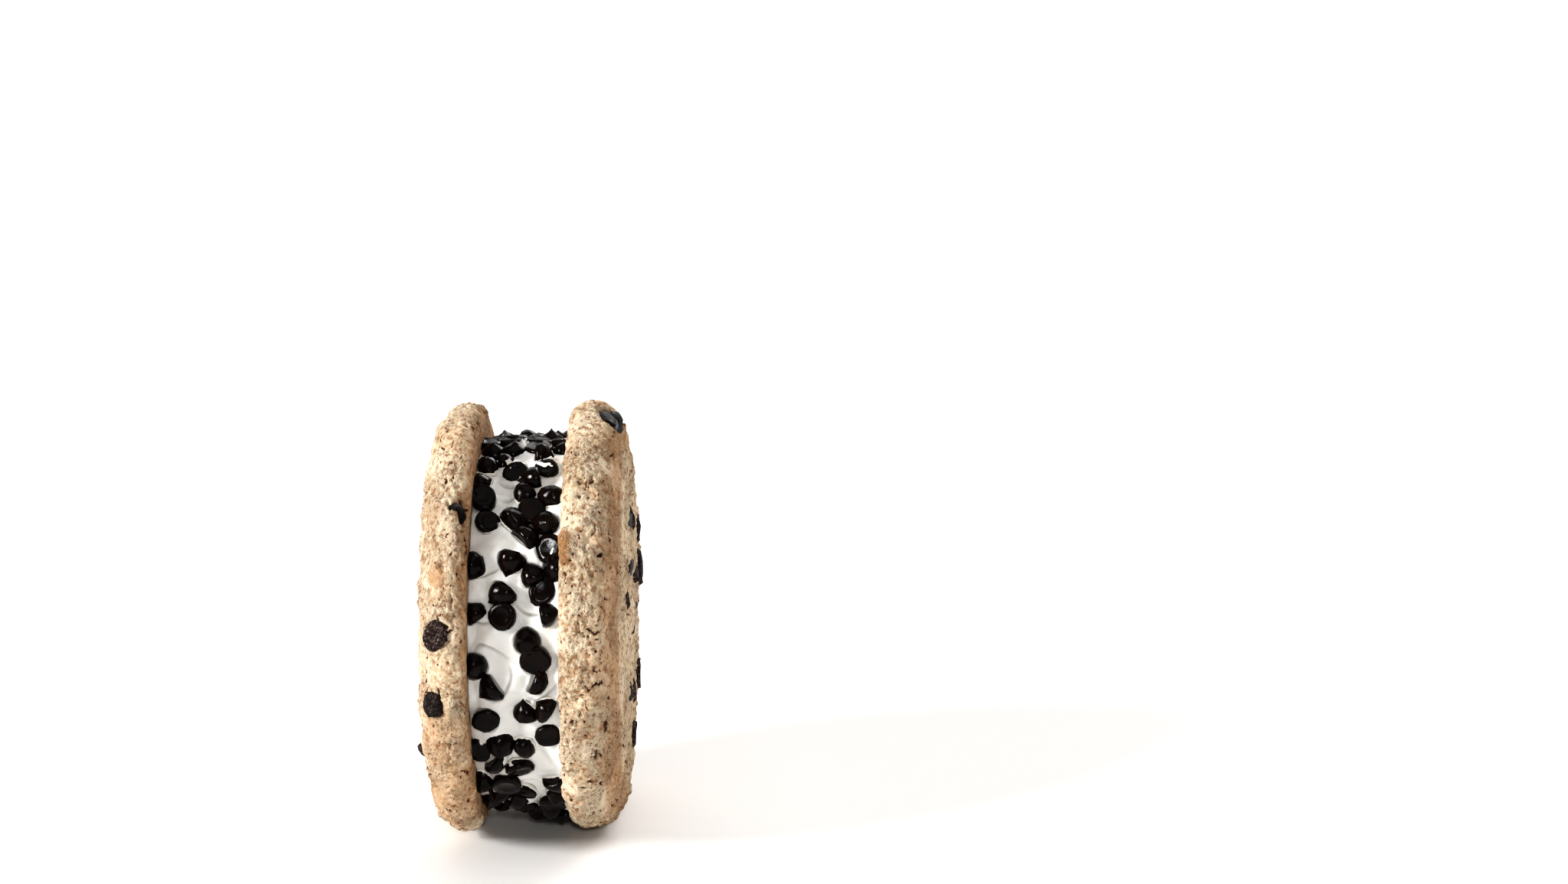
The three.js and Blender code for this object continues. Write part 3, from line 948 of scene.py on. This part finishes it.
def noise_texture(tree, vector, scale, detail=3.0, roughness=0.5):
    inputs = {"Vector": vector, "Scale": scale, "Detail": detail, "Roughness": roughness}
    return add_node(tree, "ShaderNodeTexNoise", inputs).outputs["Fac"]


def new_group(name, inputs, outputs):
    """An empty node group with named inputs and outputs."""
    group = bpy.data.node_groups.new(name, "ShaderNodeTree")
    for socket, kind in inputs.items():
        group.interface.new_socket(name=socket, in_out="INPUT", socket_type=kind)
    for socket, kind in outputs.items():
        group.interface.new_socket(name=socket, in_out="OUTPUT", socket_type=kind)
    return group, group.nodes.new("NodeGroupInput"), group.nodes.new("NodeGroupOutput")


def make_grain_group():
    """Fine grain of a given size: a height for bump and a mottle, 0 to 1, for colour."""
    group, given, out = new_group(
        "fine_grain",
        {"Vector": "NodeSocketVector", "Scale": "NodeSocketFloat"},
        {"Height": "NodeSocketFloat", "Mottle": "NodeSocketFloat"},
    )
    vector, scale = given.outputs["Vector"], given.outputs["Scale"]
    fine = noise_texture(group, vector, scale, 4.0, 0.6)
    broad = noise_texture(group, vector, times(group, scale, 0.22), 2.0)
    group.links.new(plus(group, fine, times(group, broad, 0.6)), out.inputs["Height"])
    group.links.new(ranged(group, broad, 0.3, 0.7), out.inputs["Mottle"])
    return group


def new_material(name, **settings):
    """A material with its shader's own values set."""
    material = bpy.data.materials.new(name)
    material.use_nodes = True
    shader = material.node_tree.nodes["Principled BSDF"]
    for socket, value in settings.items():
        shader.inputs[socket.replace("_", " ")].default_value = value
    return material, material.node_tree, shader


def finish_shader(tree, shader, base, height, depth, strength=1.0):
    """Gives the shader its colour, and bumps of a depth in metres."""
    tree.links.new(base, shader.inputs["Base Color"])
    bump = add_node(tree, "ShaderNodeBump", {"Height": height, "Distance": depth, "Strength": strength})
    tree.links.new(bump.outputs[0], shader.inputs["Normal"])


def attribute(tree, name, output="Fac"):
    return add_node(tree, "ShaderNodeAttribute", attribute_name=name).outputs[output]


def millimetres(tree):
    """Object coordinates in millimetres."""
    place = add_node(tree, "ShaderNodeTexCoord").outputs["Object"]
    scale = (1 / MM,) * 3
    return add_node(tree, "ShaderNodeMapping", {"Vector": place, "Scale": scale}).outputs[0]


def use_group(tree, group, vector, scale):
    """The outputs of a node group placed with its own scale."""
    node = add_node(tree, "ShaderNodeGroup", node_tree=group)
    tree.links.new(vector, node.inputs["Vector"])
    node.inputs["Scale"].default_value = scale
    return list(node.outputs)


def crooked(tree, place, scale, reach):
    """A place moved about by noise, so that a pattern laid out on it isn't regular."""
    noise_inputs = {"Vector": place, "Scale": scale, "Detail": 1.0}
    stray = add_node(tree, "ShaderNodeTexNoise", noise_inputs).outputs["Color"]
    middle = (0.5, 0.5, 0.5)
    stray = add_node(tree, "ShaderNodeVectorMath", {0: stray, 1: middle}, operation="SUBTRACT").outputs[0]
    stray = add_node(tree, "ShaderNodeVectorMath", {0: stray, "Scale": reach}, operation="SCALE").outputs[0]
    return add_node(tree, "ShaderNodeVectorMath", {0: place, 1: stray}, operation="ADD").outputs[0]


def make_crumb_group():
    """Grains of a given size with gaps between them.

    It puts out a height for bump, how bright each grain is, and the gaps.
    """
    group, given, out = new_group(
        "crumb_grains",
        {"Vector": "NodeSocketVector", "Scale": "NodeSocketFloat"},
        {"Height": "NodeSocketFloat", "Grain": "NodeSocketFloat", "Gap": "NodeSocketFloat"},
    )
    vector, scale = given.outputs["Vector"], given.outputs["Scale"]
    place = crooked(group, vector, times(group, scale, 1.1), 0.5)
    cells = add_node(group, "ShaderNodeTexVoronoi", {"Vector": place, "Scale": scale})
    shade = add_node(group, "ShaderNodeSeparateColor", {0: cells.outputs["Color"]}).outputs[0]
    gap = ranged(group, cells.outputs["Distance"], 0.38, 0.72)
    group.links.new(minus(group, 1.0, gap), out.inputs["Height"])
    group.links.new(shade, out.inputs["Grain"])
    group.links.new(gap, out.inputs["Gap"])
    return group


def make_dough(grain_group, crumb_group):
    """Pale baked dough: sandy grains, pores in clusters, painted shade in hollows, pores and between grains,
    and browner where it baked longest, partly as painted shade.
    """
    material, tree, shader = new_material(
        "baked_dough",
        Roughness=0.9,
        Specular_IOR_Level=0.2,
        Subsurface_Weight=0.08,
        Subsurface_Radius=(1.0, 0.55, 0.3),
        Subsurface_Scale=0.001,
    )
    pale, sandy, cream = colour(219, 203, 179), colour(202, 179, 151), colour(233, 217, 191)
    brown, shaded, toasted = colour(158, 120, 88), colour(150, 110, 75), colour(164, 118, 74)
    pore_rim, pore_shade, hollow_shade = colour(176, 118, 88), colour(92, 47, 30), colour(80, 44, 28)

    place = millimetres(tree)
    grain = attribute(tree, "grain", "Vector")
    hollow, coarse, browned = (attribute(tree, name) for name in ("hollow", "coarse", "browned"))
    sand, _ = use_group(tree, grain_group, place, 3.0)
    crumb_height, crumb, gap = use_group(tree, crumb_group, place, 2.6)

    # Slow drift of tone, then pale and brown flecks, then painted shade between the grains. The flecks follow
    # the bump's height, so besides the dough's own mottle they are a painted highlight on raised grains and
    # painted shade in low ones.
    drift = noise_texture(tree, place, 0.16)
    base = mix_colours(tree, ranged(tree, drift, 0.38, 0.62), pale, sandy)
    speckle = noise_texture(tree, place, 1.1, 2.0)
    level = plus(tree, speckle, times(tree, crumb, 0.05))
    base = mix_colours(tree, ranged(tree, level, 0.54, 0.71), base, cream)
    base = mix_colours(tree, ranged(tree, level, 0.49, 0.36, 0.0, 0.8), base, brown)
    dusk = times(tree, gap, ranged(tree, coarse, 0.0, 1.0, 0.03, 0.18))
    base = mix_colours(tree, dusk, base, shaded)

    # Browning, which breaks up along the flecks. Part of it is painted shade, set in the cookies' measures.
    patchy = plus(tree, browned, minus(tree, speckle, 0.5))
    base = mix_colours(tree, times(tree, browned, ranged(tree, patchy, 0.0, 0.5)), base, toasted)

    # Pores in clusters, and the hollows of the shape itself, both given painted shade: a reddish rim and a
    # dark floor.
    cluster = ranged(tree, noise_texture(tree, place, 0.35, 2.0), 0.4, 0.62, 0.07, 0.0)
    pores = minus(tree, noise_texture(tree, grain, 1.3, roughness=0.6), cluster)
    base = mix_colours(tree, ranged(tree, pores, 0.52, 0.64, 0.0, 0.35), base, pore_rim)
    pore_mask = ranged(tree, pores, 0.62, 0.66)
    base = mix_colours(tree, pore_mask, base, pore_shade)
    hollow = plus(tree, hollow, times(tree, minus(tree, pores, 0.5), 0.6))
    base = mix_colours(tree, ranged(tree, hollow, 0.2, 0.8, 0.0, 0.9), base, hollow_shade)

    height = plus(tree, times(tree, sand, 0.22), speckle)
    height = plus(tree, height, times(tree, crumb_height, 0.06))
    height = times(tree, height, ranged(tree, coarse, 0.0, 1.0, 0.6, 1.5))
    height = minus(tree, height, times(tree, pore_mask, 0.8))
    finish_shader(tree, shader, base, height, 0.00095)
    return material


def make_vanilla(grain_group):
    """Vanilla ice cream: cool white, softly see-through and moist, with some chocolate dust by the chips."""
    material, tree, shader = new_material(
        "vanilla",
        Roughness=0.42,
        Specular_IOR_Level=0.5,
        Subsurface_Weight=0.35,
        Subsurface_Radius=(1.0, 0.85, 0.7),
        Subsurface_Scale=0.0022,
        Coat_Weight=0.15,
        Coat_Roughness=0.25,
    )
    white, off_white = colour(235, 233, 229), colour(226, 223, 218)
    groove_shade, cocoa = colour(160, 155, 148), colour(120, 92, 74)

    place = millimetres(tree)
    near = attribute(tree, "near_chip")
    height, mottle = use_group(tree, grain_group, place, 1.4)
    base = mix_colours(tree, times(tree, mottle, 0.5), white, off_white)
    base = mix_colours(tree, times(tree, attribute(tree, "groove"), 0.6), base, groove_shade)
    dust = ranged(tree, noise_texture(tree, place, 2.4, 4.0, 0.65), 0.66, 0.72)
    base = mix_colours(tree, times(tree, dust, times(tree, near, 0.6)), base, cocoa)
    finish_shader(tree, shader, base, height, 0.00012, 0.5)
    return material


def make_chip_chocolate(grain_group):
    """Dark, satin chocolate with ice cream smeared on it where it goes in."""
    material, tree, shader = new_material("rolled_chocolate", Specular_IOR_Level=0.18)
    dark, darker, vanilla_film = colour(25, 14, 10), colour(12, 7, 6), colour(238, 235, 229)

    place = millimetres(tree)
    height, mottle = use_group(tree, grain_group, place, 1.6)
    base = mix_colours(tree, mottle, dark, darker)
    smudge = ranged(tree, noise_texture(tree, place, 0.21, 2.0), 0.62, 0.7)
    reach = plus(tree, smudge, times(tree, noise_texture(tree, place, 0.7, 2.0), 0.5))
    film = ranged(tree, minus(tree, attribute(tree, "proud"), reach), -0.15, -0.27)
    base = mix_colours(tree, film, base, vanilla_film)
    tree.links.new(ranged(tree, mottle, 0.0, 1.0, 0.1, 0.24), shader.inputs["Roughness"])
    finish_shader(tree, shader, base, height, 0.00012, 0.4)
    return material


def make_baked_chocolate(grain_group, crumb_group):
    """Chips that were in the oven: from dark and melted to dull, greyed and crumbly."""
    material, tree, shader = new_material("baked_chocolate", Specular_IOR_Level=0.25)
    melted, dull, grey_crumb = colour(17, 10, 8), colour(66, 49, 45), colour(158, 140, 132)
    dull_patch, crumb_gap = colour(52, 38, 35), colour(38, 26, 24)

    place = millimetres(tree)
    bloom = attribute(tree, "bloom")
    height, mottle = use_group(tree, grain_group, place, 3.0)
    crumb_height, crumb, gap = use_group(tree, crumb_group, place, 3.2)
    grey = mix_colours(tree, ranged(tree, crumb, 0.3, 0.95), dull, grey_crumb)
    grey = mix_colours(tree, times(tree, mottle, 0.5), grey, dull_patch)
    grey = mix_colours(tree, times(tree, gap, 0.7), grey, crumb_gap)
    base = mix_colours(tree, bloom, melted, grey)
    tree.links.new(ranged(tree, bloom, 0.0, 0.6, 0.2, 0.85), shader.inputs["Roughness"])
    height = times(tree, plus(tree, height, crumb_height), ranged(tree, bloom, 0.0, 1.0, 0.3, 1.0))
    finish_shader(tree, shader, base, height, 0.0004)
    return material


def make_floor_material():
    pale = colour(247, 247, 247)
    return new_material("pale_floor", Base_Color=pale, Roughness=0.7, Specular_IOR_Level=0.2)[0]


# ---------------------------------------------------------------- floor, light and camera
FLOOR_REACH = 6.0  # metres either way
CAMERA_DISTANCE = 540.4  # from the axis, along the view
CAMERA_RIGHT = 48.3  # of the middle of the ice cream
CAMERA_ABOVE = 33.45  # the view's middle, over the axis
CAMERA_PITCH = 12.0  # degrees down
LENS = 65.2
SENSOR = 36.0
SIGHT = (0.01, 50)  # nearest and furthest that it sees, in metres
STUDIO_COLOUR = (1, 0.95, 0.88, 1)
STUDIO_STRENGTH = 0.18
SUNS = [  # name, azimuth, height above the floor, power, softness
    ("key", -65, 24, 2.75, 16),
    ("top", 20, 75, 0.4, 60),
    ("front", 6, 24, 0.5, 5),
    ("right", 150, 32, 1.6, 40),
    ("back", -165, 35, 0.45, 40),
]


def make_floor():
    bm = bmesh.new()
    bmesh.ops.create_grid(bm, x_segments=1, y_segments=1, size=FLOOR_REACH)
    mesh = bpy.data.meshes.new("floor")
    bm.to_mesh(mesh)
    bm.free()
    mesh.materials.append(make_floor_material())
    floor = bpy.data.objects.new("floor", mesh)
    bpy.context.scene.collection.objects.link(floor)


def aim(thing, place, target):
    direction = Vector(target) - Vector(place)
    thing.location = place
    thing.rotation_mode = "QUATERNION"
    thing.rotation_quaternion = direction.to_track_quat("-Z", "Y")


def add_sun(name, azimuth, height, power, softness):
    """Light from far away. Its azimuth is in degrees from the front towards the right."""
    data = bpy.data.lights.new(name, "SUN")
    data.energy, data.angle = power, math.radians(softness)
    light = bpy.data.objects.new(name, data)
    bpy.context.scene.collection.objects.link(light)
    turn, rise = math.radians(azimuth), math.radians(height)
    place = Vector((math.sin(turn) * math.cos(rise), -math.cos(turn) * math.cos(rise), math.sin(rise)))
    aim(light, place, (0, 0, 0))


def make_light():
    world = bpy.data.worlds.new("studio")
    world.use_nodes = True
    background = world.node_tree.nodes["Background"]
    background.inputs["Color"].default_value = STUDIO_COLOUR
    background.inputs["Strength"].default_value = STUDIO_STRENGTH
    bpy.context.scene.world = world
    for sun in SUNS:
        add_sun(*sun)
    bpy.context.scene.view_settings.view_transform = "Standard"
    bpy.context.scene.view_settings.look = "High Contrast"


def make_camera():
    """Looks along the cookies' faces from a little above, with the sandwich left of the view's middle."""
    pitch = math.radians(CAMERA_PITCH)
    forward = np.array([0, math.cos(pitch), -math.sin(pitch)])
    up = np.array([0, math.sin(pitch), math.cos(pitch)])
    place = AXIS + np.array([CAMERA_RIGHT, 0, 0]) + CAMERA_ABOVE * up - CAMERA_DISTANCE * forward
    data = bpy.data.cameras.new("camera")
    data.lens, data.sensor_width = LENS, SENSOR
    data.clip_start, data.clip_end = SIGHT
    camera = bpy.data.objects.new("camera", data)
    bpy.context.scene.collection.objects.link(camera)
    aim(camera, place * MM, (place + forward) * MM)
    bpy.context.scene.camera = camera


# ---------------------------------------------------------------- making it
make_camera()
make_light()
make_floor()
grain_group, crumb_group = make_grain_group(), make_crumb_group()
dough = make_dough(grain_group, crumb_group)
baked_chocolate = make_baked_chocolate(grain_group, crumb_group)
make_cookie(LEFT, dough, baked_chocolate)
make_cookie(RIGHT, dough, baked_chocolate)
chips = rolled_chips()
make_ice_cream(chips, make_vanilla(grain_group))
make_rolled_chips(chips, make_chip_chocolate(grain_group))
